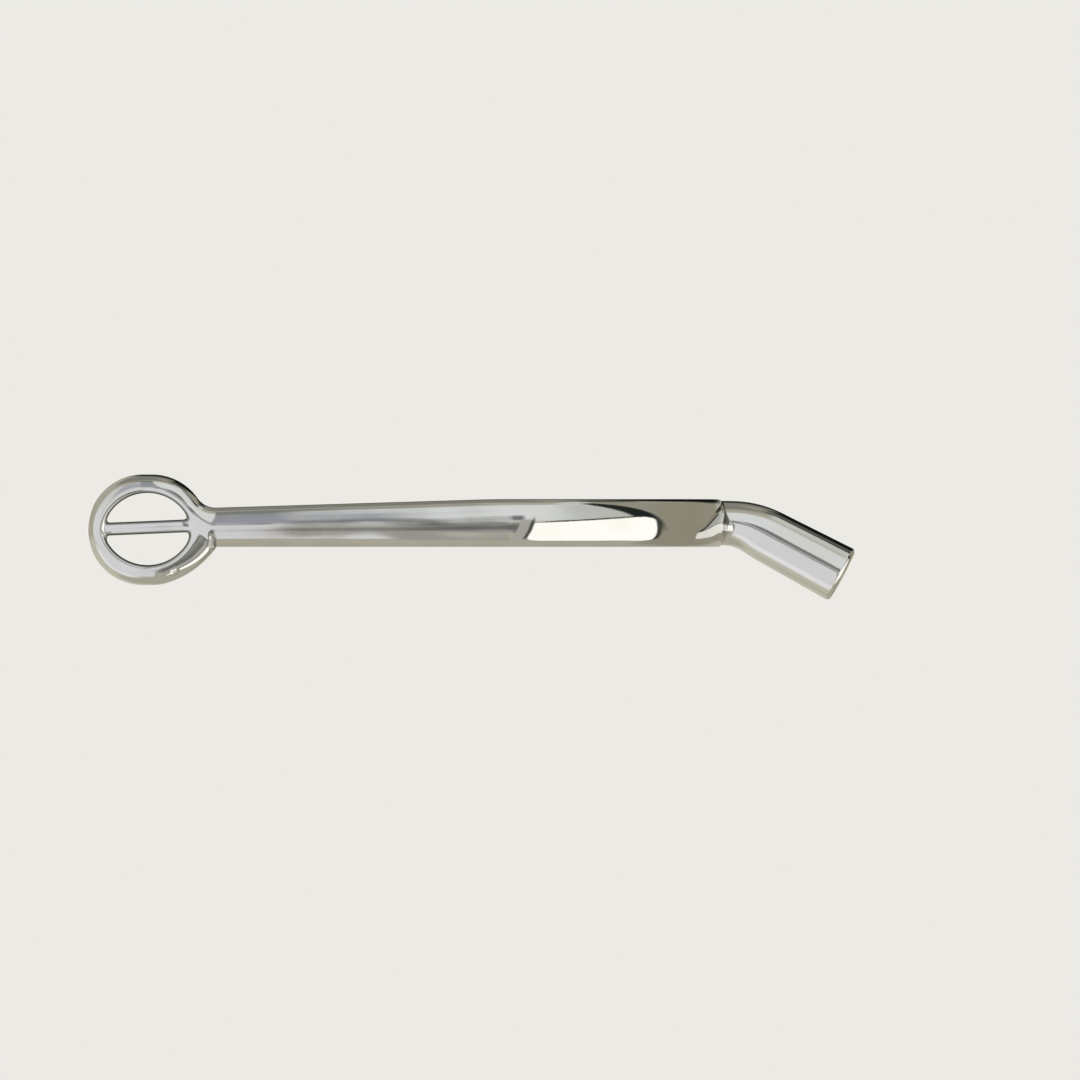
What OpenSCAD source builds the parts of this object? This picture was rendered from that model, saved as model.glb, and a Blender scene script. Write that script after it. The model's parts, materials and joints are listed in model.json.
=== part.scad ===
// English riding spur: a heel band with two barred strap loops and a drooping blunt neck.
// Worn position: +X points back along the neck, the arms run to -X and +Z is up.
// The origin is on the axis of the heel seat, half way up the band at the heel.
// Left is the wearer's left, at -Y.

/* [Heel band] */
// Inner radius of the heel seat, half the inside width between the arms
heel_r = 36; // [30:0.5:42]
// Thickness of the band at the middle of its height
band_t = 3.2; // [2.6:0.1:4]
// Height of the band at the heel
band_h = 8.7; // [8.2:0.1:10]
// Height of the band where an arm meets its strap loop
arm_end_h = 7.15; // [6.6:0.05:8]
// Length of each straight arm, from the heel seat's axis to the braze at the loop
arm_len = 53.5; // [40:0.5:65]
// Rise of the band's outer face from its edges to its middle
band_crown = 0.8; // [0.4:0.1:1.2]

/* [Strap loops] */
// Distance from the braze at the arm's end to the middle of the loop
loop_reach = 12.6; // [12.2:0.1:13]
// Radius of the loop's round ends
loop_r = 10.05; // [9.8:0.05:10.4]
// Length by which the loop is longer than it is high
loop_stretch = 1.7; // [1.2:0.1:2.4]
// Height of the heel seat's middle above the loop's middle
loop_drop = 1.22; // [0.9:0.02:1.5]
// Thickness of the loop
loop_t = 3.2; // [2.6:0.1:4]
// Length of the opening for the spur strap
slot_l = 15.3; // [13:0.1:15.6]
// Height of the opening, cross bar included
slot_h = 13.1; // [12.4:0.1:13.3]
// Height of the cross bar that divides the opening into two slots
bar_h = 2.36; // [1.8:0.02:2.6]
// Thickness of the cross bar
bar_t = 2.4; // [1.8:0.1:2.6]
// Slope of the cross bar in degrees, rising towards the heel
bar_slope = 2.4; // [0:0.1:4]

/* [Neck] */
// Straight length of the neck past its bend
neck_len = 17.3; // [10:0.1:24]
// Slope of the neck below the level in degrees
neck_slope = 28; // [20:0.5:34]
// Radius of the bend where the neck leaves the band
bend_r = 12.7; // [11:0.1:16]
// Height of the neck's section at the band
neck_root_h = 8.1; // [7.4:0.1:8.2]
// Height of the neck's section at the end of its bend
neck_mid_h = 9.45; // [8.5:0.05:10]
// Height of the neck's section at its blunt end
neck_tip_h = 10.65; // [10:0.05:11.5]
// Width of the neck's section divided by its height
neck_oval = 0.7; // [0.6:0.01:0.85]
// Diameter of the tenon that passes through the band and is peened over inside
tenon_d = 4.6; // [3:0.1:5]

/* [Hidden] */
steel = "silver";
$fn = 96;
fine_fn = 180;
hull_fn = 40;
cut = 1;
band_r = heel_r + band_t;

// strap loop: places are measured from the middle of the loop
loop_x = -arm_len - loop_reach;
loop_edge_r = 1.2;
opening_r = 8.35;
opening_z = 0.13;
bar_z = opening_z + 0.27;
bar_seat = 0.45;
bar_crown = 0.4;
root_l = 9;
fillet_r = 5.5;
fillet_top = 0.2;
// lower flank, from the loop's rim to the corner under the braze
flank_rim = [5.2, -9.2];
flank_corner = [loop_reach, loop_drop - band_h / 2];
flank_bow = [10.5, -5.9];

// neck: its end is rounded over on this radius
rim_r = 1;
slice_t = 0.02;
bend_steps = 3;

// Section of a bar from its inner face at x = r: flat inside, crowned outside
module crowned(r, t, h, crown) {
    crown_r = (h * h / 4 + crown * crown) / (2 * crown);
    intersection() {
        translate([r, -h / 2]) square([t, h]);
        translate([r + t - crown_r, 0]) circle(crown_r, $fn = fine_fn);
    }
}

module band_section() {
    crowned(heel_r, band_t, band_h, band_crown);
}

// The half round of the band that sits against the heel
module heel_turn() {
    rotate([0, 0, -90]) rotate_extrude(angle = 180, $fn = fine_fn) band_section();
}

module right_arm() {
    translate([-arm_len, 0, 0]) rotate([90, 0, 90]) linear_extrude(arm_len) band_section();
}

// Side outline of the band, whose arms taper along their upper edge
module band_side() {
    rotate([90, 0, 0]) linear_extrude(2 * band_r + 2 * cut, center = true)
        polygon([
            [-arm_len, -band_h / 2],
            [band_r + cut, -band_h / 2],
            [band_r + cut, band_h / 2],
            [0, band_h / 2],
            [-arm_len, arm_end_h - band_h / 2]
        ]);
}

module tenon() {
    rotate([0, 90, 0]) cylinder(d = tenon_d, h = band_r + cut, $fn = fine_fn);
}

module heel_band() {
    color(steel) difference() {
        intersection() {
            union() {
                heel_turn();
                right_arm();
                mirror([0, 1, 0]) right_arm();
            }
            band_side();
        }
        tenon();
    }
}

// A point on the neck's path is given by the angle turned in the bend, then a straight length
function path_x(a, s) = band_r + bend_r * sin(a) + s * cos(a);
function path_z(a, s) = -bend_r * (1 - cos(a)) - s * sin(a);

// Thin oval slice of the neck, square to its path
module neck_slice(a, s, h) {
    translate([path_x(a, s), 0, path_z(a, s)]) rotate([0, 90 + a, 0])
        linear_extrude(slice_t, center = true)
            scale([h, h * neck_oval]) circle(d = 1, $fn = hull_fn);
}

module bend_slice(i) {
    turned = i / bend_steps;
    neck_slice(turned * neck_slope, 0, neck_root_h + turned * (neck_mid_h - neck_root_h));
}

module shank() {
    hull() {
        neck_slice(0, -band_crown - cut, neck_root_h);
        bend_slice(0);
    }
    for (i = [1:bend_steps])
        hull() {
            bend_slice(i - 1);
            bend_slice(i);
        }
    hull() {
        bend_slice(bend_steps);
        neck_slice(neck_slope, neck_len - rim_r, neck_tip_h);
        neck_slice(neck_slope, neck_len - 0.3 * rim_r, neck_tip_h - 0.6 * rim_r);
        neck_slice(neck_slope, neck_len - slice_t, neck_tip_h - 2 * rim_r);
    }
}

module neck() {
    color(steel) union() {
        difference() {
            shank();
            heel_turn();
            cylinder(r = heel_r + cut, h = 2 * band_h, center = true);
        }
        difference() {
            tenon();
            cylinder(r = heel_r, h = 2 * tenon_d, center = true, $fn = fine_fn);
        }
    }
}

// The loop modules lie flat: x is along the arm, y is up and z is out from the boot

// Section of the loop's blank, with its outer edge rounded over
module loop_section() {
    square([loop_r - loop_edge_r, loop_t]);
    square([loop_r, loop_t - loop_edge_r]);
    translate([loop_r - loop_edge_r, loop_t - loop_edge_r]) circle(loop_edge_r);
}

module loop_blank() {
    for (side = [-1, 1])
        translate([side * loop_stretch / 2, 0, 0]) rotate_extrude($fn = fine_fn) loop_section();
    rotate([90, 0, 90]) linear_extrude(loop_stretch, center = true) {
        loop_section();
        mirror([1, 0]) loop_section();
    }
}

// Outline of the root between the loop's rim and the braze
module root_outline() {
    arm_top = loop_drop - band_h / 2 + arm_end_h;
    fillet_y = arm_top + fillet_top + fillet_r;
    gap = loop_r + fillet_r;
    fillet_x = loop_stretch / 2 + sqrt(gap * gap - fillet_y * fillet_y);
    difference() {
        polygon([
            flank_rim, flank_bow, flank_corner,
            [loop_reach, arm_top],
            [fillet_x, arm_top + fillet_top],
            [loop_stretch / 2 + loop_r * (fillet_x - loop_stretch / 2) / gap, loop_r * fillet_y / gap],
            [0, opening_r]
        ]);
        translate([fillet_x, fillet_y]) circle(fillet_r);
    }
}

module root() {
    linear_extrude(loop_t - band_crown) root_outline();
    intersection() {
        linear_extrude(loop_t) root_outline();
        translate([loop_reach, loop_drop, 0]) rotate([0, -90, 0])
            linear_extrude(root_l) crowned(0, band_t, band_h, band_crown);
    }
}

// Outline of the opening: where two circles overlap, cut square at the ends
module opening_outline() {
    translate([0, opening_z]) intersection() {
        square([slot_l, slot_h], center = true);
        translate([0, slot_h / 2 - opening_r]) circle(opening_r, $fn = fine_fn);
        translate([0, opening_r - slot_h / 2]) circle(opening_r, $fn = fine_fn);
    }
}

module flat_bar() {
    translate([0, bar_z, (loop_t - bar_t) / 2]) rotate([0, 0, bar_slope]) rotate([0, -90, 0])
        linear_extrude(slot_l + 2 * bar_seat, center = true) crowned(0, bar_t, bar_h, bar_crown);
}

module flat_loop() {
    difference() {
        union() {
            loop_blank();
            root();
        }
        translate([0, 0, -cut]) linear_extrude(loop_t + 2 * cut) opening_outline();
        flat_bar();
    }
}

// Stands a flat loop piece up against the left arm
module at_left() {
    translate([loop_x, -heel_r, -loop_drop]) rotate([90, 0, 0]) children();
}

module at_right() {
    mirror([0, 1, 0]) at_left() children();
}

module left_loop() {
    color(steel) at_left() flat_loop();
}

module right_loop() {
    color(steel) at_right() flat_loop();
}

module left_cross_bar() {
    color(steel) at_left() flat_bar();
}

module right_cross_bar() {
    color(steel) at_right() flat_bar();
}

heel_band();
neck();
left_loop();
right_loop();
left_cross_bar();
right_cross_bar();
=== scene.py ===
"""Looks of an English riding spur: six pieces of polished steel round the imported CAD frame.

Shapes are worked out in millimetres from the frame and turned into metres when a mesh is made.
X points back along the neck, the arms run to -X and Z is up. In a loop's own flat frame the
points are (x, out, z), where out is the distance from the inner face of the arm.
"""

import json
import math

import bmesh
import bpy
import numpy as np
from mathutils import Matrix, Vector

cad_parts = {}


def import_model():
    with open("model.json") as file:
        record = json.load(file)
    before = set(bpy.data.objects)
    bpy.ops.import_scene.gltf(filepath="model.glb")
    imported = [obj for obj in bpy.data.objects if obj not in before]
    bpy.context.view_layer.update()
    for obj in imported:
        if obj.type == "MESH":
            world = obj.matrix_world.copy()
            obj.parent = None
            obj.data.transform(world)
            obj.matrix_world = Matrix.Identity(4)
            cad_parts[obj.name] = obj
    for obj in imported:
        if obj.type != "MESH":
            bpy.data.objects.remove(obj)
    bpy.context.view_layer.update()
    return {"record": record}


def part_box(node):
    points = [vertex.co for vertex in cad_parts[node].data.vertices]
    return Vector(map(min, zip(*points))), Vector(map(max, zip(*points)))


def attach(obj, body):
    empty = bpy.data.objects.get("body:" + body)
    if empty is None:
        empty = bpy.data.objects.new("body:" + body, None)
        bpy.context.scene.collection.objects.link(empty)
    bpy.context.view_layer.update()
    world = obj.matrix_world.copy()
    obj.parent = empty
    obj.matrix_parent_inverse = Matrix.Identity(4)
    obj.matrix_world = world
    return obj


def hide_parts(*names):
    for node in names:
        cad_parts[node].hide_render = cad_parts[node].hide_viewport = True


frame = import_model()
MM = 0.001


def box_mm(node):
    """Lowest and highest corner of a CAD node in millimetres."""
    low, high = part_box(node)
    return np.array(low) / MM, np.array(high) / MM


# ---------------------------------------------------------------- driving dimensions

BAND_LOW, BAND_HIGH = box_mm("heel_band")
NECK_LOW, NECK_HIGH = box_mm("neck")
LOOP_LOW, LOOP_HIGH = box_mm("left_loop")

# heel band
SEAT_R = frame["record"]["mounts"][0]["dims"]["r_mm"]
BAND_R = BAND_HIGH[0]
BAND_T = BAND_R - SEAT_R
HALF_H = BAND_HIGH[2]
ARM_END = BAND_LOW[0]
# height of the arm's upper edge at its end
ARM_END_TOP = 2.8
# share of the arm over which its taper begins
TAPER_EASE = 0.12
# the arms close inwards by this much at their ends
ARM_BOW = 0.55
# rise of the outer face, and radius of the edges of the inner one
CROWN = 1.45
BACK_EDGE = 0.4

# strap loop
LOOP_Z = (LOOP_LOW[2] + LOOP_HIGH[2]) / 2
LOOP_R = (LOOP_HIGH[2] - LOOP_LOW[2]) / 2
# half the distance between the middles of the loop's two round ends
LOOP_STRETCH = 0.85
# the arm's bow tilts the loop's outer face this much further from the heel
LOOP_LEAN = 0.04
LOOP_X = LOOP_LOW[0] + LOOP_R + LOOP_STRETCH + LOOP_LEAN

# dullness, from 0 to 1, of the inner faces, which are only brushed
SATIN = 0.3


# ---------------------------------------------------------------- small tools


def smoothstep(low, high, value):
    """0 at low, 1 at high and smooth between; low may be above high."""
    t = np.clip((value - low) / (high - low), 0.0, 1.0)
    return t * t * (3 - 2 * t)


def smooth_max(a, b, k):
    """The larger of a and b, rounded where they are within k of each other."""
    h = np.maximum(k - np.abs(a - b), 0.0) / k
    return np.maximum(a, b) + h * h * k / 4


# edges steeper than this stay sharp, in degrees
SHARP_ANGLE = 50


def make_mesh(name, points, faces):
    """A smooth-shaded mesh object from points in millimetres."""
    mesh = bpy.data.meshes.new(name)
    mesh.from_pydata((np.asarray(points) * MM).tolist(), [], [list(map(int, f)) for f in faces])
    mesh.validate()
    mesh.shade_smooth()
    mesh.set_sharp_from_angle(angle=math.radians(SHARP_ANGLE))
    piece = bpy.data.objects.new(name, mesh)
    bpy.context.scene.collection.objects.link(piece)
    return piece


def set_dull_and_painted_shade(piece, amounts):
    """Stores, for the material, how dull each point of a piece is and how much painted shade darkens it."""
    layer = piece.data.attributes.new("dull_and_painted_shade", "FLOAT", "POINT")
    layer.data.foreach_set("value", np.asarray(amounts, dtype=np.float32))


def grid_faces(rows, columns):
    """Quads over rows of points that each run right round."""
    faces = []
    for i in range(rows - 1):
        for j in range(columns):
            k = (j + 1) % columns
            here, ahead = i * columns, (i + 1) * columns
            faces.append((here + j, here + k, ahead + k, ahead + j))
    return faces


# ---------------------------------------------------------------- heel band

# sections along each arm and round the heel, and points over the crown
ARM_STEPS = 90
HEEL_STEPS = 241
CROWN_STEPS = 57


def arm_bow(x):
    """How far an arm has moved inwards at x, and the slope there."""
    back = np.minimum(x, 0.0)
    return ARM_BOW * (back / ARM_END) ** 2, 2 * ARM_BOW * back / ARM_END**2


def on_arm(x, out, z, side=-1):
    """Points at x along an arm, out from its inner face and up at z."""
    bow, slope = arm_bow(x)
    length = np.sqrt(1 + slope**2)
    return np.stack([x + out * slope / length, side * (SEAT_R - bow + out / length), z], -1)


def band_top(x):
    """Upper edge of the band, which falls along the arms."""
    share = np.clip(x / ARM_END, 0.0, None)
    eased = np.where(share < TAPER_EASE, share**2 / (2 * TAPER_EASE), share - TAPER_EASE / 2)
    return HALF_H - (HALF_H - ARM_END_TOP) * eased / (1 - TAPER_EASE / 2)


def inner_dull(out):
    """Dullness of the brushed inner face at points this far out from it."""
    return SATIN * smoothstep(0.6, 0.1, out)


def band_section():
    """The band's section as (height from -1 to 1, drop below that edge, distance out)."""
    crown_turn = np.radians(np.linspace(-90, 90, CROWN_STEPS))
    edge = BAND_T - CROWN
    corner = np.radians(np.linspace(0, 90, 6))
    rows = [(math.sin(a), 0.0, edge + CROWN * math.cos(a)) for a in crown_turn]
    rows += [(1.0, 0.0, edge * f + BACK_EDGE * (1 - f)) for f in (0.66, 0.33)]
    rows += [(1.0, BACK_EDGE * (1 - math.cos(a)), BACK_EDGE * (1 - math.sin(a))) for a in corner]
    rows += [(h, BACK_EDGE * h, 0.0) for h in np.linspace(0.8, -0.8, 9)]
    rows += [(-1.0, -BACK_EDGE * (1 - math.cos(a)), BACK_EDGE * (1 - math.sin(a))) for a in corner[::-1]]
    rows += [(-1.0, 0.0, edge * f + BACK_EDGE * (1 - f)) for f in (0.33, 0.66)]
    return np.array(rows)


def band_ring(x, turn, section):
    """Points of one section, x along the left arm or turned round the heel."""
    top = band_top(x)
    middle, half = (top - HALF_H) / 2, (top + HALF_H) / 2
    z = middle + section[:, 0] * half - section[:, 1]
    out = section[:, 2]
    if turn is None:
        return on_arm(np.full(len(z), x), out, z)
    r = SEAT_R + out
    return np.stack([r * math.sin(turn), -r * math.cos(turn), z], 1)


def heel_band():
    """One bar from the end of the left arm round the heel to the end of the right arm."""
    section = band_section()
    count = len(section)
    arm_x = ARM_END * (1 - np.linspace(0, 1, ARM_STEPS))
    left = [band_ring(x, None, section) for x in arm_x[:-1]]
    heel = [band_ring(0.0, a, section) for a in np.radians(np.linspace(0, 180, HEEL_STEPS))]
    right = [ring * (1, -1, 1) for ring in reversed(left)]
    rings = left + heel + right
    points = np.concatenate(rings)
    faces = grid_faces(len(rings), count)
    faces.append(tuple(range(count))[::-1])
    faces.append(tuple(len(points) - count + i for i in range(count)))
    piece = make_mesh("heel_band_bar", points, faces)
    set_dull_and_painted_shade(piece, np.tile(inner_dull(section[:, 2]), len(rings)))
    return piece


# ---------------------------------------------------------------- neck

# the neck leaves the band level, bends down and runs straight to its blunt end
NECK_SLOPE = math.radians(28)
NECK_BEND_R = 12.7
NECK_BEND_L = NECK_BEND_R * NECK_SLOPE
NECK_L = NECK_BEND_L + 17.2
# the bend is smooth from this far before its start to this far past its end
BEND_EASE = 1.6
# half height at the band, what it gains over the first part, and what each millimetre adds
NECK_ROOT = 4.05
NECK_SWELL, NECK_SWELL_L = 0.62, 8.5
NECK_FLARE = 0.025
# half the width is this share of NECK_ROOT, which grows by NECK_WIDENING towards the end
NECK_OVAL = 0.7
NECK_WIDENING = 0.5
# rounding of the end's rim, and rise of its middle
NECK_RIM = 0.85
NECK_DOME = 0.2
# points round the neck, and sections along it
NECK_AROUND = 128
NECK_STEPS = 70
# bead of braze round the root: its size, the least share of it, and the degrees up from the
# side at which it is thickest and over which it thins
BEAD = 1.5
BEAD_LEAST = 0.12
BEAD_AT, BEAD_SPREAD = -12, 26
BEAD_STEPS = 10
# darkening of the braze's upper half: partly a dull seam, partly painted shade
BEAD_DULL_AND_SHADE = 0.85
# the bead's foot is sunk into the band, and kept off its upper and lower edges
FOOT_SUNK, FOOT_BURIED = 0.03, 0.47
FOOT_MARGIN = 0.02
# the tenon's end is hammered over into a low dome
TENON_R = 2.3
PEEN_RISE = 0.14


def neck_path(s):
    """Place and slope of the neck's middle line at s past the band."""
    steps = np.linspace(-4.0, NECK_L + 1, 1200)
    slope = NECK_SLOPE * smoothstep(-BEND_EASE, NECK_BEND_L + BEND_EASE, steps)
    gap = steps[1] - steps[0]
    along = np.cumsum(np.cos(slope)) * gap
    down = np.cumsum(np.sin(slope)) * gap
    along -= np.interp(0, steps, along)
    x = BAND_R + np.interp(s, steps, along)
    return x, -np.interp(s, steps, down), np.interp(s, steps, slope)


def neck_half_height(s):
    """Half the height of the neck's section at s."""
    return NECK_ROOT + NECK_SWELL * smoothstep(0, NECK_SWELL_L, s) + NECK_FLARE * s


def neck_half_width(s):
    """Half the width of the neck's section at s."""
    return NECK_OVAL * (NECK_ROOT + NECK_WIDENING * s / NECK_L)


def neck_point(around, s, shrink=0.0):
    """A point on the neck's surface; around is the angle up from its near side."""
    x, z, slope = neck_path(s)
    up = (neck_half_height(s) - shrink) * np.sin(around)
    across = (neck_half_width(s) - shrink) * np.cos(around)
    return np.stack([x + up * np.sin(slope), -across, z + up * np.cos(slope)], -1)


def band_back(y, z):
    """x of the band's outer face behind the heel."""
    lean = np.sqrt(np.clip(1 - (z / HALF_H) ** 2, 0.0, 1.0))
    return np.sqrt((BAND_R - CROWN + CROWN * lean) ** 2 - y**2)


def neck_start(around, bead):
    """Lengths along the neck at which its surface comes out of the bead."""
    start = np.zeros(len(around))
    for _ in range(12):
        points = neck_point(around, start)
        start += band_back(points[:, 1], points[:, 2]) + bead - points[:, 0]
    return start


def bead_rings(around, bead, base):
    """Rings from inside the band out over the bead to the neck's own surface at base."""
    side = np.stack([-np.cos(around), np.sin(around) * NECK_OVAL], 1)
    side /= np.linalg.norm(side, axis=1)[:, None]
    rings = []
    for t in np.radians(np.linspace(0, 90, BEAD_STEPS)):
        away = bead * (1 - math.sin(t))
        y, z = (base[:, 1:] + side * away[:, None]).T
        z = np.clip(z, -HALF_H + FOOT_MARGIN, HALF_H - FOOT_MARGIN)
        x = band_back(y, z) + bead * (1 - math.cos(t)) - FOOT_SUNK * (1 - math.sin(t))
        rings.append(np.stack([x, y, z], 1))
    return [rings[0] - (FOOT_BURIED, 0, 0)] + rings


def shank_rings(around, start):
    """Rings from the bead to near the middle of the blunt end, and the point that closes it."""
    end = NECK_L - NECK_RIM
    rings = []
    for f in np.linspace(0, 1, NECK_STEPS)[1:]:
        rings.append(neck_point(around, start * (1 - f) + end * f))
    for t in np.radians(np.linspace(0, 90, 10))[1:]:
        s = np.full(len(around), end + NECK_RIM * math.sin(t))
        rings.append(neck_point(around, s, NECK_RIM * (1 - math.cos(t))))
    last = rings[-1]
    x, z, _ = neck_path(NECK_L)
    middle = np.array([x, 0, z])
    ahead = np.array([math.cos(NECK_SLOPE), 0, -math.sin(NECK_SLOPE)])
    for f in np.linspace(1, 0, 14)[1:-1]:
        rings.append(middle + (last - middle) * f + ahead * NECK_DOME * (1 - f * f))
    return rings, middle + ahead * NECK_DOME


def peened_end(around):
    """The tenon's end as a low dome on the band's inner face."""
    profile = [(TENON_R, -0.3), (TENON_R, 0.02)]
    profile += [(TENON_R * f, 0.02 + PEEN_RISE * (1 - f**4)) for f in (0.96, 0.9, 0.8, 0.65, 0.5, 0.3, 0.1)]
    rings = []
    for r, rise in profile:
        y, z = r * np.cos(around), r * np.sin(around)
        rings.append(np.stack([np.sqrt(SEAT_R**2 - y**2) - rise, y, z], 1))
    count = len(around)
    faces = [face[::-1] for face in grid_faces(len(rings), count)]
    faces.append(tuple(range(count)))
    faces.append(tuple((len(rings) - 1) * count + j for j in range(count))[::-1])
    return np.concatenate(rings), faces


def neck():
    """The bead, the shank and the tenon's end as one piece."""
    count = NECK_AROUND
    around = np.linspace(0, 2 * math.pi, count, endpoint=False)
    # the angle up or down from the middle of the nearer side
    height = np.degrees(np.arctan2(np.sin(around), np.abs(np.cos(around))))
    thick = np.exp(-(((height - BEAD_AT) / BEAD_SPREAD) ** 2))
    bead = BEAD * (BEAD_LEAST + (1 - BEAD_LEAST) * thick)
    start = neck_start(around, bead)
    rings, tip = shank_rings(around, start)
    rings = bead_rings(around, bead, neck_point(around, start)) + rings
    faces = grid_faces(len(rings), count)
    points = np.concatenate(rings + [[tip]])
    shank = len(points)
    first = shank - 1 - count
    faces += [(first + j, first + (j + 1) % count, shank - 1) for j in range(count)]
    faces.append(tuple(range(count))[::-1])
    end_points, end_faces = peened_end(around)
    faces += [tuple(i + shank for i in face) for face in end_faces]
    points = np.concatenate([points, end_points])
    piece = make_mesh("neck_shank", points, faces)
    # the braze's upper half is darkened, partly as a dull seam and partly as painted shade, and the tenon's
    # end is as dull as the inner faces
    neck_dull_and_shade = np.where(np.arange(len(points)) < shank, 0.0, SATIN)
    neck_dull_and_shade[: BEAD_STEPS * count] = np.tile(BEAD_DULL_AND_SHADE * smoothstep(-4, 6, height), BEAD_STEPS)
    set_dull_and_painted_shade(piece, neck_dull_and_shade)
    return piece


# ---------------------------------------------------------------- strap loops

LOOP_T = 3.2
# radius between the loop and the arm's upper edge, and where its arc meets that edge in degrees
TOP_FILLET = 4.0
TOP_FILLET_END = 271.7
# the taper's straight line is this much too high where the arm begins
ARM_TAPER_SHIFT = (HALF_H - ARM_END_TOP) * TAPER_EASE / 2 / (1 - TAPER_EASE / 2)
# the lower flank bows from the loop's rim to the corner under the braze
FLANK_CENTRE, FLANK_R = (-67.48, 5.36), 17.0
FLANK_CORNER = (-53.66, -HALF_H)
# rounding of the loop's rim: its width and its depth
RIM_W = 2.5
RIM_CROWN = 2.4
# the rounding narrows by this much along the flank, between these places
FLANK_PINCH = 1.0
PINCH_X, PINCH_Z = (-61.0, -55.5), (-1.5, -5.0)
# where the loop starts to take on the arm's section, how much later it does so low down,
# and where it has the arm's section
ROOT_START = -58.6
ROOT_START_DROP = 3.5
ROOT_END = ARM_END - 0.7
# the face slopes to the rim over this width
SHOULDER_W = 4.2
SHOULDER_SLOPE = 0.08
# slope of the outer surface's field, where 1 is a true distance, and its blend into the slots
OUTER_STEEP = 0.8
RIM_BLEND = 0.25
# the opening: half its length, then the centre's height and the radius of its two curved edges
SLOT_HALF_L = 7.75
UPPER_Z, UPPER_R = -2.8, 8.25
LOWER_Z, LOWER_R = 0.81, 8.45
SLOT_EDGE = 0.4
# the face falls by a little where it comes to the opening
LIP_W = 1.0
LIP_DROP = 0.17
# the cross bar: its middle, its slope up towards the heel, half its height and its face
BAR_Z = -0.82
BAR_SLOPE = math.radians(2.4)
BAR_HALF = 1.18
BAR_TOP = 3.0
BAR_CROWN = 0.12
BAR_CREST = 0.45
# the bar becomes a piece of its own between cuts at this length from its middle; the cuts are
# kept to the faces within this reach of its middle, along and up
BAR_CUT = 7.3
BAR_REACH = (9.5, 2.6)
# small pit where the lower flank runs into the loop's rim
GROOVE = (np.array([-61.7, -9.25]), np.array([-60.1, -8.55]))
GROOVE_W = 0.5
GROOVE_DEPTH = 0.12
# size of the cells that the surface is found in, and room for it round the loop
CELL = 0.15
ROOM = 0.5
# length of arm that the surface takes in before it is cut off square
ARM_SPARE = 0.9
# painted shade in the groove and in the corner under the braze, and the middle of that corner
GROOVE_SHADE = 0.75
# painted shade in the corner under the braze
CORNER_SHADE = 0.85
CORNER_SPOT = (FLANK_CORNER[0] - 0.4, FLANK_CORNER[1] + 0.7)


def arc_depth(points, centre, radius, start, end, hollow=False):
    """Distance from 2D points to an arc, and the side they are on: above 0 is metal."""
    rel = points - np.array(centre)
    out = np.hypot(rel[:, 0], rel[:, 1])
    turn = np.degrees(np.arctan2(rel[:, 1], rel[:, 0]))
    beside = (turn - start) % 360 <= (end - start) % 360
    ends = np.radians([start, end])
    tips = np.array(centre) + radius * np.stack([np.cos(ends), np.sin(ends)], 1)
    to_tips = np.minimum(*(np.hypot(*(points - tip).T) for tip in tips))
    side = np.where(out < radius, 1.0, -1.0)
    return np.where(beside, np.abs(out - radius), to_tips), -side if hollow else side


def line_depth(points, first, last):
    """Distance from 2D points to a line, whose metal is on its left."""
    first, along = np.array(first), np.array(last) - np.array(first)
    rel = points - first
    share = np.clip(rel @ along / (along @ along), 0, 1)
    off = rel - share[:, None] * along
    side = along[0] * rel[:, 1] - along[1] * rel[:, 0]
    return np.hypot(off[:, 0], off[:, 1]), np.where(side >= 0, 1.0, -1.0)


def bearing(centre, point):
    """Direction from a centre to a point, in degrees from 0 to 360."""
    across, up = np.subtract(point, centre)
    return math.degrees(math.atan2(up, across)) % 360


def lower_crossing(centre, radius, other_centre, other_radius):
    """The lower of the two points where two circles cross."""
    gap = np.subtract(other_centre, centre)
    far = np.hypot(*gap)
    along = (far**2 + radius**2 - other_radius**2) / (2 * far)
    unit = gap / far
    lift = math.sqrt(radius**2 - along**2) * np.array([-unit[1], unit[0]])
    foot = np.array(centre) + along * unit
    return min((foot - lift, foot + lift), key=lambda point: point[1])


def loop_outline():
    """The loop's outer edge as arcs and lines, anticlockwise from the arm's upper edge."""
    right = (LOOP_X + LOOP_STRETCH, LOOP_Z)
    left = (LOOP_X - LOOP_STRETCH, LOOP_Z)
    fillet_z = ARM_END_TOP + TOP_FILLET
    reach = LOOP_R + TOP_FILLET
    fillet = (right[0] + math.sqrt(reach**2 - (fillet_z - LOOP_Z) ** 2), fillet_z)
    touch = bearing(right, fillet)
    meet = lower_crossing(right, LOOP_R, FLANK_CENTRE, FLANK_R)
    flank_turns = bearing(FLANK_CENTRE, meet), bearing(FLANK_CENTRE, FLANK_CORNER)
    return [
        (line_depth, (0.0, float(band_top(0.0)) + ARM_TAPER_SHIFT), (ARM_END, ARM_END_TOP)),
        (arc_depth, fillet, TOP_FILLET, 180 + touch, TOP_FILLET_END, True),
        (arc_depth, right, LOOP_R, touch, 90),
        (line_depth, (right[0], LOOP_Z + LOOP_R), (left[0], LOOP_Z + LOOP_R)),
        (arc_depth, left, LOOP_R, 90, 270),
        (line_depth, (left[0], LOOP_Z - LOOP_R), (right[0], LOOP_Z - LOOP_R)),
        (arc_depth, right, LOOP_R, 270, bearing(right, meet)),
        (arc_depth, FLANK_CENTRE, FLANK_R, *flank_turns),
        (line_depth, FLANK_CORNER, (-40.0, -HALF_H)),
    ]


OUTLINE = loop_outline()


def depth_inside(points):
    """Distance of 2D points from the outline, above 0 in the metal."""
    best = np.full(len(points), 1e9)
    depth = np.zeros(len(points))
    for measure, *shape in OUTLINE:
        distance, side = measure(points, *shape)
        closer = distance < best
        best = np.where(closer, distance, best)
        depth = np.where(closer, distance * side, depth)
    return depth


def over_bar(x, z):
    """Distance above the cross bar's middle line."""
    return (z - BAR_Z) * math.cos(BAR_SLOPE) - (x - LOOP_X) * math.sin(BAR_SLOPE)


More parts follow.
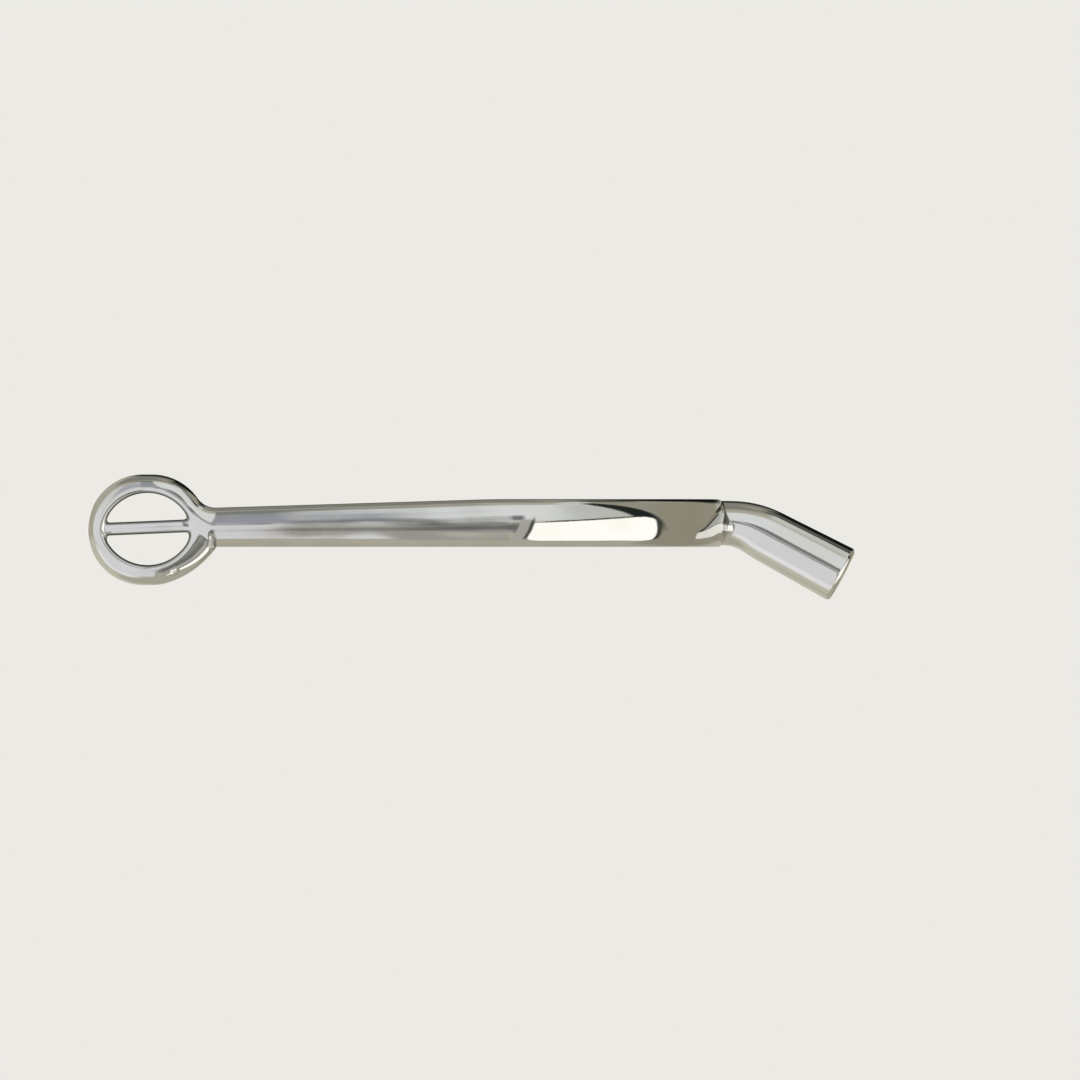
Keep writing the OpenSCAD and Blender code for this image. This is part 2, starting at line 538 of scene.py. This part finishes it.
def slot_edges(x, z):
    """Distance out of the upper slot, the lower slot and the whole opening; below 0 is inside."""
    bar = over_bar(x, z)
    ends = np.abs(x - LOOP_X) - SLOT_HALF_L
    upper = np.hypot(x - LOOP_X, z - UPPER_Z) - UPPER_R
    lower = np.hypot(x - LOOP_X, z - LOWER_Z) - LOWER_R
    upper_slot = smooth_max(smooth_max(upper, BAR_HALF - bar, 1.0), ends, 0.8)
    lower_slot = smooth_max(smooth_max(lower, BAR_HALF + bar, 1.0), ends, 0.8)
    return upper_slot, lower_slot, smooth_max(upper, lower, 0.5)


def rounded_edge(inward, height, radius):
    """Distance past an edge that is rounded between its wall and its top."""
    a, b = radius - inward, height + radius
    corner = np.hypot(np.maximum(a, 0), np.maximum(b, 0))
    return corner + np.minimum(np.maximum(a, b), 0) - radius


def groove_depth(plane):
    """Depth of the small pit, which fades out at both ends."""
    first, last = GROOVE
    along = last - first
    share = np.clip(((plane - first) @ along) / (along @ along), 0, 1)
    off = plane - first - share[:, None] * along
    fade = smoothstep(0, 0.25, share) * smoothstep(1, 0.7, share)
    return GROOVE_DEPTH * fade * np.exp(-((off**2).sum(1)) / GROOVE_W**2)


def face_height(x, z, plane):
    """Height of the loop's face: it falls to the slots, and the bar is crowned."""
    _, _, opening = slot_edges(x, z)
    lip = LOOP_T - LIP_DROP * np.clip(1 - opening / LIP_W, 0, 1.2) ** 2 - groove_depth(plane)
    off_crest = np.clip(over_bar(x, z) / BAR_HALF - BAR_CREST, -2.0, 1.3)
    bar_face = BAR_TOP - BAR_CROWN * off_crest**2
    on_bar = smoothstep(0.6, -1.5, opening)
    return lip * (1 - on_bar) + bar_face * on_bar


def loop_field(points):
    """Below 0 inside the loop, the cross bar and the arm's end; points are (x, out, z)."""
    x, out, z = points.T
    plane = np.stack([x, z], 1)
    inside = depth_inside(plane)
    root_start = ROOT_START + ROOT_START_DROP * smoothstep(0, -3.5, z)
    to_arm = smoothstep(root_start, ROOT_END, x)
    arm_half = (band_top(x) + HALF_H) / 2
    rim = RIM_W - FLANK_PINCH * smoothstep(*PINCH_X, x) * smoothstep(*PINCH_Z, z)
    width = rim + (arm_half - rim) * to_arm
    crown = RIM_CROWN + (CROWN - RIM_CROWN) * to_arm
    rise = 1 - np.minimum(inside, width) / width
    lift = np.maximum(out - LOOP_T + crown, 0) / crown
    outer = (np.hypot(rise, lift) - 1) * width * OUTER_STEEP
    shoulder = np.clip(SHOULDER_W - inside, 0, SHOULDER_W - 1) ** 2 / (2 * (SHOULDER_W - RIM_W))
    height = out - face_height(x, z, plane) + SHOULDER_SLOPE * shoulder * (1 - to_arm)
    upper, lower, _ = slot_edges(x, z)
    holes = np.maximum(rounded_edge(upper, height, SLOT_EDGE), rounded_edge(lower, height, SLOT_EDGE))
    field = smooth_max(outer, holes, RIM_BLEND * (1 - to_arm) + 1e-3)
    return smooth_max(field, -out, 2 * BACK_EDGE)


def gradient(field, points, step=0.01):
    """Slope of a field at each point."""
    slopes = []
    for axis in range(3):
        shift = np.zeros(3)
        shift[axis] = step
        slopes.append((field(points + shift) - field(points - shift)) / (2 * step))
    return np.stack(slopes, 1)


def net_points(value, grid, step):
    """A point in each cell that the surface crosses, and each cell's index or -1."""
    cells = tuple(n - 1 for n in value.shape)
    total = np.zeros(cells + (3,))
    count = np.zeros(cells)

    def corner(offset):
        return tuple(slice(o, o + n) for o, n in zip(offset, cells))

    for axis in range(3):
        others = [a for a in range(3) if a != axis]
        for i in (0, 1):
            for j in (0, 1):
                first = [0, 0, 0]
                first[others[0]], first[others[1]] = i, j
                second = list(first)
                second[axis] = 1
                a, b = value[corner(first)], value[corner(second)]
                crosses = (a < 0) != (b < 0)
                share = np.where(crosses, a / np.where(crosses, a - b, 1), 0)
                place = grid[corner(first)] + share[..., None] * step * np.eye(3)[axis]
                total += np.where(crosses[..., None], place, 0)
                count += crosses
    used = count > 0
    index = np.full(cells, -1)
    index[used] = np.arange(used.sum())
    return total[used] / count[used][:, None], index


def net_faces(value, index):
    """A quad round each edge of the grid that the surface crosses, facing out."""
    cells = index.shape
    faces = []
    for axis in range(3):
        b, c = [a for a in range(3) if a != axis]
        here = [slice(1, n) for n in cells]
        here[axis] = slice(0, cells[axis])
        ahead = list(here)
        ahead[axis] = slice(1, cells[axis] + 1)
        inside, beyond = value[tuple(here)] < 0, value[tuple(ahead)] < 0
        start = np.argwhere(inside != beyond)
        out = inside[tuple(start.T)]
        where = start + [1 if a != axis else 0 for a in range(3)]
        step_b, step_c = np.eye(3, dtype=int)[b], np.eye(3, dtype=int)[c]
        ring = [where, where - step_b, where - step_b - step_c, where - step_c]
        quads = np.stack([index[tuple(r.T)] for r in ring], 1)
        turn = out if axis != 1 else ~out
        faces.append(np.where(turn[:, None], quads, quads[:, ::-1]))
    return np.concatenate(faces)


def surface_net(field, low, high, step):
    """Points and quads on the surface where field is 0."""
    axes = [np.arange(a, b + step, step) for a, b in zip(low, high)]
    grid = np.stack(np.meshgrid(*axes, indexing="ij"), -1)
    value = field(grid.reshape(-1, 3)).reshape(grid.shape[:3])
    points, index = net_points(value, grid, step)
    return points, net_faces(value, index)


def settle(field, points, faces, step, rounds=4):
    """Evens the points out along the surface and brings them onto it."""
    edges = np.concatenate([faces[:, [0, 1]], faces[:, [1, 2]], faces[:, [2, 3]], faces[:, [3, 0]]])
    for _ in range(rounds):
        total = np.zeros_like(points)
        count = np.zeros(len(points))
        for a, b in ((0, 1), (1, 0)):
            np.add.at(total, edges[:, a], points[edges[:, b]])
            np.add.at(count, edges[:, a], 1)
        mean = total / count[:, None]
        points = points + 0.5 * (mean - points)
        for _ in range(2):
            slope = gradient(field, points)
            steep = np.maximum((slope**2).sum(1), 1e-3)
            move = field(points)[:, None] * slope / steep[:, None]
            size = np.linalg.norm(move, axis=1)
            points = points - move * np.minimum(1, 0.5 * step / np.maximum(size, 1e-9))[:, None]
    return points


def loop_end():
    """Points (x, out, z) and quads of the loop, its bar and a little of the arm."""
    low = (LOOP_LOW[0] - ROOM, -ROOM, LOOP_LOW[2] - ROOM)
    high = (ARM_END + 1.5, LOOP_T + ROOM, LOOP_HIGH[2] + ROOM)

    def field(points):
        return np.maximum(loop_field(points), points[:, 0] - (ARM_END + ARM_SPARE))

    points, faces = surface_net(field, low, high, CELL)
    return settle(loop_field, points, faces, CELL), faces


def cut_along(data, x, near):
    """Cuts the faces of a bmesh that near picks along the plane at x."""
    faces = [f for f in data.faces if near(f)]
    edges = list(dict.fromkeys(e for f in faces for e in f.edges))
    verts = list(dict.fromkeys(v for f in faces for v in f.verts))
    geometry = verts + edges + faces
    bmesh.ops.bisect_plane(data, geom=geometry, plane_co=(x, 0, 0), plane_no=(1, 0, 0), dist=1e-5)


def fill_holes(data):
    """Closes a bmesh with one face over each of its holes."""
    edges = [e for e in data.edges if e.is_boundary]
    bmesh.ops.holes_fill(data, edges=edges, sides=0)


def split_loop(points, faces):
    """The loop and its cross bar as two closed meshes in (x, out, z)."""
    ring = bmesh.new()
    verts = [ring.verts.new(p) for p in points]
    for f in faces:
        ring.faces.new([verts[i] for i in f])
    ring.normal_update()
    cut_along(ring, ARM_END, lambda f: f.calc_center_median().x > ARM_END - 1)
    beyond = [f for f in ring.faces if f.calc_center_median().x > ARM_END]
    bmesh.ops.delete(ring, geom=beyond, context="FACES")

    def by_bar(f):
        c = f.calc_center_median()
        return abs(c.z - BAR_Z) < BAR_REACH[1] and abs(c.x - LOOP_X) < BAR_REACH[0]

    for side in (-1, 1):
        cut_along(ring, LOOP_X + side * BAR_CUT, by_bar)
    ring.faces.index_update()
    of_bar = [f for f in ring.faces if by_bar(f) and abs(f.calc_center_median().x - LOOP_X) < BAR_CUT]
    keep = {f.index for f in of_bar}
    bar = ring.copy()
    bar.faces.index_update()
    bmesh.ops.delete(bar, geom=[f for f in bar.faces if f.index not in keep], context="FACES")
    bmesh.ops.delete(ring, geom=of_bar, context="FACES")
    for part in (ring, bar):
        fill_holes(part)
    return ring, bar


def loop_dull_and_painted_shade(points):
    """Painted shade on the slot walls, in the groove and in the corner under the braze, and the dullness of
    the inner face.
    """
    x, out, z = points.T
    upper, lower, _ = slot_edges(x, z)
    # painted shade darkens the walls of the slots
    slot_wall_shade = smoothstep(0.5, 0.28, np.minimum(upper, lower))
    # painted shade darkens the groove
    groove_shade = GROOVE_SHADE * (groove_depth(np.stack([x, z], 1)) / GROOVE_DEPTH) ** 2
    # painted shade darkens the corner under the braze
    corner = CORNER_SHADE * smoothstep(1.6, 0.6, np.hypot(x - CORNER_SPOT[0], z - CORNER_SPOT[1]))
    return np.max([slot_wall_shade, groove_shade, inner_dull(out), corner], 0)


def place_flat(data, name, side):
    """Turns a bmesh in (x, out, z) into a piece on the left (-1) or right (1) arm."""
    data.verts.index_update()
    flat = np.array([v.co for v in data.verts])
    points = on_arm(flat[:, 0], flat[:, 1], flat[:, 2], side)
    faces = [[v.index for v in f.verts] for f in data.faces]
    if side > 0:
        faces = [f[::-1] for f in faces]
    piece = make_mesh(name, points, faces)
    set_dull_and_painted_shade(piece, loop_dull_and_painted_shade(flat))
    return piece


def loops():
    """Both strap loops and their cross bars, by the CAD node that each replaces."""
    ring, bar = split_loop(*loop_end())
    made = {}
    for side, word in ((-1, "left"), (1, "right")):
        made[f"{word}_loop"] = place_flat(ring, f"{word}_strap_loop", side)
        made[f"{word}_cross_bar"] = place_flat(bar, f"{word}_loop_bar", side)
    return made


# ---------------------------------------------------------------- node tools


def srgb(*levels):
    """A linear RGBA colour from display levels of 0 to 255."""
    shares = [level / 255 for level in levels]
    return tuple(c / 12.92 if c <= 0.04045 else ((c + 0.055) / 1.055) ** 2.4 for c in shares) + (1.0,)


def feed(tree, socket, value):
    """Links an output into a socket, or sets the socket to a plain value."""
    if isinstance(value, bpy.types.NodeSocket):
        tree.links.new(value, socket)
    else:
        socket.default_value = value


def math_node(tree, operation, *values):
    """Output of a maths node over plain values or other outputs."""
    node = tree.nodes.new("ShaderNodeMath")
    node.operation = operation
    for socket, value in zip(node.inputs, values):
        feed(tree, socket, value)
    return node.outputs[0]


def vector_node(tree, operation, *values):
    """Output of a vector maths node over plain values or other outputs."""
    node = tree.nodes.new("ShaderNodeVectorMath")
    node.operation = operation
    for socket, value in zip(node.inputs, values):
        feed(tree, socket, value)
    return node.outputs["Value"] if operation == "LENGTH" else node.outputs[0]


def remap(tree, value, start, end, low=0.0, high=1.0):
    """Takes start..end smoothly to low..high."""
    node = tree.nodes.new("ShaderNodeMapRange")
    node.interpolation_type = "SMOOTHSTEP"
    for name, number in zip(("From Min", "From Max", "To Min", "To Max"), (start, end, low, high)):
        node.inputs[name].default_value = number
    feed(tree, node.inputs["Value"], value)
    return node.outputs[0]


def mix_colour(tree, share, first, second):
    """Mixes two colours by a share from 0 to 1."""
    node = tree.nodes.new("ShaderNodeMix")
    node.data_type = "RGBA"
    for socket, value in zip((node.inputs[0], node.inputs[6], node.inputs[7]), (share, first, second)):
        feed(tree, socket, value)
    return node.outputs[2]


def noise(tree, place, scale, detail):
    """Noise with its own number of waves to the metre along each axis."""
    node = tree.nodes.new("ShaderNodeTexNoise")
    node.inputs["Scale"].default_value = 1
    node.inputs["Detail"].default_value = detail
    feed(tree, node.inputs["Vector"], vector_node(tree, "MULTIPLY", place, scale))
    return node.outputs["Fac"]


# ---------------------------------------------------------------- material

# base colours of the clean and the smeared steel, and of the dull steel that also stands for painted shade
STEEL = (0.72, 0.715, 0.70, 1)
STEEL_WARM = (0.69, 0.68, 0.655, 1)
STEEL_DULL_AND_SHADED = (0.27, 0.268, 0.255, 1)
# share of the light that the clean steel gives back, which the room's strength makes up for
STEEL_TINT = 0.71
# waves to the metre, along X, Y and Z, of the smears, the polishing lines and the soft waviness
SMEAR_WAVES = (110, 160, 160)
LINE_WAVES = (150, 2600, 2600)
SOFT_WAVES = (60, 90, 160)
# roughness from clean to smeared, and what the lines and the dull places add to it
ROUGH_CLEAN, ROUGH_SMEARED = 0.03, 0.075
ROUGH_LINES = 0.03
ROUGH_DULL = 0.2
# height of the relief in metres, and the lines' share of it
RELIEF = 0.00009
LINE_RELIEF = 0.02


def steel():
    """Mirror-polished stainless steel with fine polishing lines, smears, dull inner faces and painted shade
    in slot walls, groove and corners.
    """
    material = bpy.data.materials.new("polished_steel")
    material.use_nodes = True
    tree = material.node_tree
    shader = tree.nodes["Principled BSDF"]
    shader.inputs["Metallic"].default_value = 1
    place = tree.nodes.new("ShaderNodeTexCoord").outputs["Object"]
    dull_and_painted_shade = tree.nodes.new("ShaderNodeAttribute")
    dull_and_painted_shade.attribute_name = "dull_and_painted_shade"

    smears = noise(tree, place, SMEAR_WAVES, 3)
    lines = noise(tree, place, LINE_WAVES, 2)
    waves = noise(tree, place, SOFT_WAVES, 0)

    clean = mix_colour(tree, remap(tree, smears, 0.35, 0.7), STEEL, STEEL_WARM)
    # the attribute darkens the base colour: dullness on the inner faces, and painted shade on the slot
    # walls, in the groove, in the corner under the braze and on the braze's upper half
    feed(tree, shader.inputs["Base Color"], mix_colour(tree, dull_and_painted_shade.outputs["Fac"], clean, STEEL_DULL_AND_SHADED))
    polished = remap(tree, smears, 0.4, 0.75, ROUGH_CLEAN, ROUGH_SMEARED)
    fine = math_node(tree, "MULTIPLY_ADD", remap(tree, lines, 0.55, 0.8), ROUGH_LINES, polished)
    rough = math_node(tree, "MULTIPLY_ADD", dull_and_painted_shade.outputs["Fac"], ROUGH_DULL, fine)
    feed(tree, shader.inputs["Roughness"], rough)

    relief = math_node(tree, "MULTIPLY_ADD", lines, LINE_RELIEF, waves)
    bump = tree.nodes.new("ShaderNodeBump")
    bump.inputs["Strength"].default_value = 1
    bump.inputs["Distance"].default_value = RELIEF
    feed(tree, bump.inputs["Height"], relief)
    feed(tree, shader.inputs["Normal"], bump.outputs[0])
    return material


# ---------------------------------------------------------------- studio

# display levels of the white paper, and how much of its light the floor gives back
PAPER = (236, 234, 229)
FLOOR_SHADE = 0.8
FLOOR_REACH = 3000.0
# share of the floor's brightness that comes from all round
SKY_SHARE = 0.72
# size and tilt of the soft light in degrees, and its turn about X and Y as shares of the tilt
LIGHT_SIZE = 40
LIGHT_TILT = 35
LIGHT_TURN = (0.6, -0.8)
# the neck rests on the floor this far in front of its end
NECK_REST = 4.0

# What the polished steel reflects, in degrees: azimuth 0 is in front of the near arm and 90 is
# behind the heel. Each card has its middle, half size, turn, the share of its half size that
# its round corners and its soft edge take, and its colour. A later card covers an earlier one.
# Cards whose middle is further round than FAR_ROUND count their azimuth from 0 to 360.
FAR_ROUND = 120
BASE = (164, 161, 148)
CARDS = (
    # ceiling, darker on the right
    (0, 90, 400, 32, 0, 0.3, 0.45, (122, 122, 115)),
    (88, 60, 36, 13, 0, 0.6, 0.7, (98, 101, 95)),
    # pale far wall behind the object
    (199, 0, 18, 10, 0, 0.5, 0.25, (236, 236, 234)),
    # pale wall on the left
    (-38, -10, 26, 34, 0, 0.5, 0.8, (208, 210, 212)),
    (-34, 29, 13, 9, 0, 0.6, 0.8, (196, 199, 200)),
    (-9, 43, 6, 7, 0, 0.6, 0.8, (112, 114, 118)),
    # light sheet above the front, shaded towards the heel
    (31, 21.5, 40, 20, 0, 0.35, 0.5, (208, 211, 211)),
    (54, 18, 24, 22, 0, 0.5, 0.9, (182, 185, 181)),
    # darker wall that cuts the sheet off, and the olive wall behind the heel
    (97, 45, 62, 34, -50, 0.1, 0.08, (143, 141, 128)),
    (118, -8, 32, 40, 0, 0.3, 0.5, (138, 134, 119)),
    # black and grey flags above and to the right of the softbox
    (68.5, 21.5, 34, 6.5, -52, 0.8, 0.5, (30, 34, 32)),
    (74, 58, 27, 5, -19, 0.8, 0.7, (34, 38, 35)),
    (95, 61, 22, 10, 0, 0.6, 0.9, (84, 88, 82)),
    (166, 40, 24, 24, 0, 0.6, 0.7, (40, 42, 34)),
    (143, 37, 42, 13, -37, 0.7, 0.4, (14, 18, 16)),
    # pale gap between the flags
    (45, 50.5, 16, 6.5, 25, 0.6, 0.8, (190, 194, 188)),
    # pale sheets low in front
    (-95, -34, 85, 26, 0, 0.4, 0.4, (184, 182, 168)),
    (-36, -30, 28, 17, 0, 0.5, 0.4, (222, 222, 225)),
    (-17, -14, 16.3, 19, 1.5, 0.2, 0.2, (207, 207, 211)),
    # person and camera in front, as grey shapes and thin upright strips
    (4.6, -9, 5.2, 9, 4, 0.6, 0.55, (124, 124, 119)),
    (-0.75, -19, 0.65, 19, 1.5, 0.6, 0.7, (148, 146, 139)),
    (-8.5, 18, 6, 9, 0, 0.6, 0.8, (160, 163, 170)),
    (-4.3, 42, 1.4, 11, 1.8, 0.6, 0.5, (118, 121, 119)),
    (-3.4, 28, 1.25, 8, 1.8, 0.6, 0.6, (135, 138, 143)),
    (-2.7, 17, 1.2, 9, 1.8, 0.6, 0.9, (142, 145, 154)),
    (3.6, 7.4, 3.6, 4.2, 0, 0.6, 0.9, (112, 114, 114)),
    (2.3, -8, 3.8, 3.5, 0, 0.6, 0.9, (100, 101, 99)),
    (-2.4, 6.5, 0.4, 2.5, 0, 0.6, 0.9, (126, 128, 134)),
    (-0.95, 4, 0.45, 8, 3.5, 0.6, 0.9, (100, 101, 102)),
    # softbox in its black frame
    (49, -15.6, 41.5, 22, 8, 0.5, 0.07, (60, 62, 56)),
    (47.5, -16.2, 39.5, 20.4, 8, 0.32, 0.04, (255, 253, 248)),
    # its left end, behind the person's shoulder
    (6.4, -14, 3.4, 19, -7, 0.3, 0.3, (162, 161, 155)),
    (10, -14, 1.1, 20, -7, 0.5, 0.6, (72, 73, 68)),
)


def card_mask(tree, sky, card):
    """1 on a card with round corners and a soft edge, 0 off it."""
    azimuth, elevation, half_w, half_h, turn, corner, soft, _ = card
    local = tree.nodes.new("ShaderNodeMapping")
    local.vector_type = "TEXTURE"
    local.inputs["Location"].default_value = (azimuth, elevation, 0)
    local.inputs["Rotation"].default_value = (0, 0, math.radians(turn))
    local.inputs["Scale"].default_value = (half_w, half_h, 1)
    feed(tree, local.inputs["Vector"], sky)
    beyond = vector_node(tree, "ABSOLUTE", local.outputs[0])
    beyond = vector_node(tree, "SUBTRACT", beyond, (1 - corner, 1 - corner, 0))
    beyond = vector_node(tree, "MAXIMUM", beyond, (0, 0, 0))
    away = vector_node(tree, "LENGTH", beyond)
    return remap(tree, away, corner - soft / 2, corner + soft / 2, 1.0, 0.0)


def sky_angles(tree):
    """Azimuth and elevation in degrees, with the azimuth's jump behind and then in front."""
    place = tree.nodes.new("ShaderNodeTexCoord").outputs["Generated"]
    parts = tree.nodes.new("ShaderNodeSeparateXYZ")
    feed(tree, parts.inputs[0], place)
    x, y, z = parts.outputs
    elevation = math_node(tree, "DEGREES", math_node(tree, "ARCSINE", z))
    toward = math_node(tree, "MULTIPLY", y, -1.0)
    azimuth = math_node(tree, "DEGREES", math_node(tree, "ARCTAN2", x, toward))
    skies = []
    for lowest in (-180.0, 0.0):
        turned = math_node(tree, "WRAP", azimuth, lowest + 360, lowest)
        both = tree.nodes.new("ShaderNodeCombineXYZ")
        feed(tree, both.inputs[0], turned)
        feed(tree, both.inputs[1], elevation)
        skies.append(both.outputs[0])
    return skies


def world():
    """Plain paper to the camera and the floor; a room of cards to the steel's reflections."""
    studio = bpy.data.worlds.new("studio")
    studio.use_nodes = True
    bpy.context.scene.world = studio
    tree = studio.node_tree
    front, back = sky_angles(tree)
    colour = srgb(*BASE)
    for card in CARDS:
        sky = back if abs(card[0]) > FAR_ROUND else front
        colour = mix_colour(tree, card_mask(tree, sky, card), colour, srgb(*card[-1]))
    room = tree.nodes.new("ShaderNodeBackground")
    feed(tree, room.inputs["Color"], colour)
    room.inputs["Strength"].default_value = 1 / STEEL_TINT
    rays = tree.nodes.new("ShaderNodeLightPath").outputs
    paper = tree.nodes["Background"]
    paper.inputs["Color"].default_value = srgb(*PAPER)
    # full strength to the camera, and less to the rays that light the floor
    lit = math_node(tree, "SUBTRACT", 1.0, rays["Is Camera Ray"])
    strength = math_node(tree, "MULTIPLY_ADD", lit, SKY_SHARE / FLOOR_SHADE - 1, 1.0)
    feed(tree, paper.inputs["Strength"], strength)
    both = tree.nodes.new("ShaderNodeMixShader")
    feed(tree, both.inputs[0], rays["Is Glossy Ray"])
    feed(tree, both.inputs[1], paper.outputs[0])
    feed(tree, both.inputs[2], room.outputs[0])
    feed(tree, tree.nodes["World Output"].inputs["Surface"], both.outputs[0])


def soft_light():
    """A broad light high on the left, which gives the floor the rest of its brightness."""
    data = bpy.data.lights.new("soft_light", "SUN")
    data.angle = math.radians(LIGHT_SIZE)
    tilt = math.radians(LIGHT_TILT)
    data.energy = (1 - SKY_SHARE) / FLOOR_SHADE * math.pi / math.cos(tilt)
    data.color = srgb(*PAPER)[:3]
    light = bpy.data.objects.new("soft_light", data)
    light.rotation_euler = (tilt * LIGHT_TURN[0], tilt * LIGHT_TURN[1], 0)
    light.visible_glossy = False
    bpy.context.scene.collection.objects.link(light)


def floor():
    """A wide pale floor that touches both loops and the neck's end."""
    low_x, high_x = LOOP_X, NECK_HIGH[0] - NECK_REST
    slope = (NECK_LOW[2] - LOOP_LOW[2]) / (high_x - low_x)
    corners = []
    for across, away in ((-1, -1), (1, -1), (1, 1), (-1, 1)):
        x = across * FLOOR_REACH
        corners.append((x, away * FLOOR_REACH, LOOP_LOW[2] + slope * (x - low_x)))
    piece = make_mesh("floor", corners, [(0, 1, 2, 3)])
    material = bpy.data.materials.new("floor_paper")
    material.use_nodes = True
    shader = material.node_tree.nodes["Principled BSDF"]
    shader.inputs["Base Color"].default_value = (FLOOR_SHADE, FLOOR_SHADE, FLOOR_SHADE, 1)
    shader.inputs["Roughness"].default_value = 1.0
    shader.inputs["Specular IOR Level"].default_value = 0.0
    piece.data.materials.append(material)
    piece.visible_glossy = False


# what the camera sees across, and where it stands, in metres
VIEW_WIDTH = 0.19636
VIEW_FROM = (0.00527, -0.5, -0.00309)


def camera():
    """A level camera on the object's near side, without perspective."""
    data = bpy.data.cameras.new("camera")
    data.type = "ORTHO"
    data.ortho_scale = VIEW_WIDTH
    data.clip_start = 0.001
    data.clip_end = 10
    view = bpy.data.objects.new("camera", data)
    view.location = VIEW_FROM
    view.rotation_euler = (math.radians(90), 0, 0)
    bpy.context.scene.collection.objects.link(view)
    bpy.context.scene.camera = view


# ---------------------------------------------------------------- assembly

bpy.context.scene.view_settings.view_transform = "Standard"
camera()
world()
soft_light()
floor()
steel_material = steel()
pieces = {"heel_band": heel_band(), "neck": neck(), **loops()}
for node, piece in pieces.items():
    piece.data.materials.append(steel_material)
    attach(piece, "root")
    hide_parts(node)
